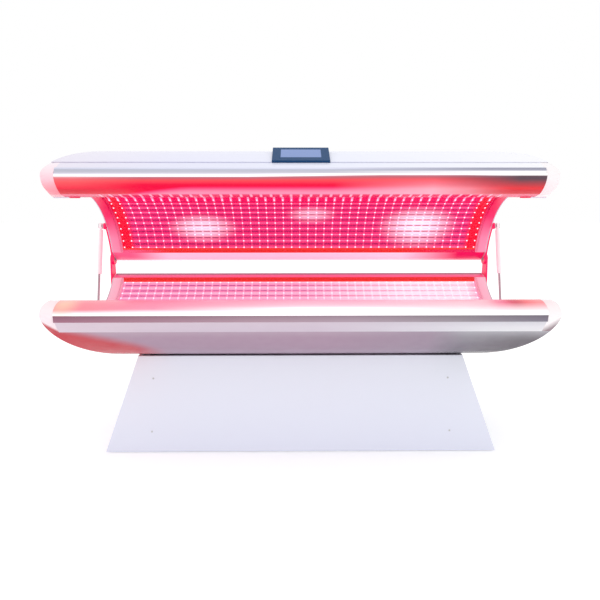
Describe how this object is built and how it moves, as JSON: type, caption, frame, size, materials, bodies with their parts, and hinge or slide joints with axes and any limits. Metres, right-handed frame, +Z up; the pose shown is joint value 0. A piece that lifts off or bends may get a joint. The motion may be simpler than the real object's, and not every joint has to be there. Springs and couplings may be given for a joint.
{
  "type": "red light therapy bed",
  "caption": "Clamshell red light therapy bed: boat-shaped lower half on a tapered pedestal, hinged curved canopy held open by gas struts, light strips under clear acrylic.",
  "frame": {"origin": "centre of the whole bed's footprint on the floor, canopy open", "axes": "+X along the length to the user's right seen from the front, +Y to the rear where the hinge is, +Z up"},
  "size_m": [1.94, 0.874, 1.2291],
  "materials": {
    "shell_white": "glossy moulded shell, white",
    "rail_white": "glossy moulded trim, white, reddened by the lamps",
    "band_silver": "satin anodised aluminium",
    "accent_grey": "brushed anodised grey",
    "clear_acrylic": "clear polished acrylic sheet",
    "light_board": "light strip boards, lit red",
    "reflector": "polished reflector sheet",
    "former_white": "cut sheet formers",
    "supply_case": "power supply cases",
    "fan_black": "moulded fan",
    "panel_blue": "slate blue control housing",
    "screen": "touch screen, glass-like",
    "hinge_red": "white painted hinge plates, reddened by the lamps",
    "bronze": "sintered bronze bush",
    "steel": "zinc-plated steel",
    "strut_chrome": "chromed piston rod",
    "strut_paint": "white painted gas cylinder",
    "spacer_black": "black spacer",
    "frame_steel": "powder-coated square tube",
    "pedestal_white": "white melamine-faced board",
    "foot_black": "black plastic",
    "rocker_red": "red rocker"
  },
  "bodies": {
    "base": {"bed_shell": "shell_white", "bed_front_rail": "rail_white", "bed_front_band": "band_silver", "bed_accent_strip": "accent_grey", "bed_rear_rail": "rail_white", "bed_cap_left": "shell_white", "bed_cap_right": "shell_white", "bed_rib_left": "rail_white", "bed_rib_right": "rail_white", "bed_acrylic": "clear_acrylic", "bed_light_strips": "light_board", "bed_reflector_tray": "reflector", "bed_formers": "former_white", "bed_power_supplies": "supply_case", "bed_fan_frames": "fan_black", "hinge_bracket_left": "hinge_red", "hinge_bracket_right": "hinge_red", "hinge_pins": "steel", "lower_strut_studs": "steel", "shadow_spacer": "spacer_black", "pedestal_frame": "frame_steel", "pedestal_front_panel": "pedestal_white", "pedestal_back_panel": "pedestal_white", "pedestal_left_panel": "pedestal_white", "pedestal_right_panel": "pedestal_white", "panel_screws": "steel", "levelling_feet": "foot_black", "power_inlet": "foot_black"},
    "canopy": {"canopy_shell": "shell_white", "canopy_front_rail": "rail_white", "canopy_front_band": "band_silver", "canopy_accent_strip": "accent_grey", "canopy_rear_rail": "rail_white", "canopy_cap_left": "shell_white", "canopy_cap_right": "shell_white", "canopy_rib_left": "rail_white", "canopy_rib_right": "rail_white", "canopy_acrylic": "clear_acrylic", "canopy_light_strips": "light_board", "canopy_reflector_tray": "reflector", "canopy_formers": "former_white", "canopy_power_supplies": "supply_case", "canopy_fan_frames": "fan_black", "control_panel_housing": "panel_blue", "control_panel_screen": "screen", "hinge_arm_left": "hinge_red", "hinge_arm_right": "hinge_red", "hinge_bushes": "bronze", "upper_strut_studs": "steel"},
    "bed_fan_left": {"bed_fan_rotor_left": "fan_black"},
    "bed_fan_right": {"bed_fan_rotor_right": "fan_black"},
    "canopy_fan_left": {"canopy_fan_rotor_left": "fan_black"},
    "canopy_fan_right": {"canopy_fan_rotor_right": "fan_black"},
    "strut_rod_left": {"strut_rod_left": "strut_chrome"},
    "strut_rod_right": {"strut_rod_right": "strut_chrome"},
    "strut_cylinder_left": {"strut_cylinder_left": "strut_paint"},
    "strut_cylinder_right": {"strut_cylinder_right": "strut_paint"},
    "power_rocker": {"rocker_switch": "rocker_red"}
  },
  "joints": [
    {"name": "canopy_hinge", "type": "hinge", "parent": "base", "child": "canopy", "pos_m": [0, 0.33854, 0.72], "axis": [1, 0, 0], "range_deg": [0, 28]},
    {"name": "strut_pivot_left", "type": "hinge", "parent": "base", "child": "strut_rod_left", "pos_m": [-0.9352, 0.09904, 0.49], "axis": [1, 0, 0], "range_deg": [0, 7.6]},
    {"name": "strut_slide_left", "type": "slide", "parent": "strut_rod_left", "child": "strut_cylinder_left", "axis": [0, 0.2946, 0.9556], "range_m": [-0.0875, 0]},
    {"name": "bed_fan_spin_left", "type": "hinge", "parent": "base", "child": "bed_fan_left", "pos_m": [-0.4, -0.00696, 0.403], "axis": [0, 0, 1], "continuous": true},
    {"name": "canopy_fan_spin_left", "type": "hinge", "parent": "canopy", "child": "canopy_fan_left", "pos_m": [-0.4, 0.15648, 1.11353], "axis": [0, 0.4695, 0.8829], "continuous": true},
    {"name": "strut_pivot_right", "type": "hinge", "parent": "base", "child": "strut_rod_right", "pos_m": [0.9352, 0.09904, 0.49], "axis": [1, 0, 0], "range_deg": [0, 7.6]},
    {"name": "strut_slide_right", "type": "slide", "parent": "strut_rod_right", "child": "strut_cylinder_right", "axis": [0, 0.2946, 0.9556], "range_m": [-0.0875, 0]},
    {"name": "bed_fan_spin_right", "type": "hinge", "parent": "base", "child": "bed_fan_right", "pos_m": [0.4, -0.00696, 0.403], "axis": [0, 0, 1], "continuous": true},
    {"name": "canopy_fan_spin_right", "type": "hinge", "parent": "canopy", "child": "canopy_fan_right", "pos_m": [0.4, 0.15648, 1.11353], "axis": [0, 0.4695, 0.8829], "continuous": true},
    {"name": "power_rocker_tilt", "type": "hinge", "parent": "base", "child": "power_rocker", "pos_m": [0.506, 0.25249, 0.10758], "axis": [1, 0, 0], "range_deg": [-16, 0]}
  ],
  "couplings": [
    {"joint": "strut_pivot_left", "follows": "canopy_hinge", "ratio": 0.26862},
    {"joint": "strut_slide_left", "follows": "canopy_hinge", "m_per_rad": -0.17736},
    {"joint": "strut_pivot_right", "follows": "canopy_hinge", "ratio": 0.26862},
    {"joint": "strut_slide_right", "follows": "canopy_hinge", "m_per_rad": -0.17736}
  ]
}
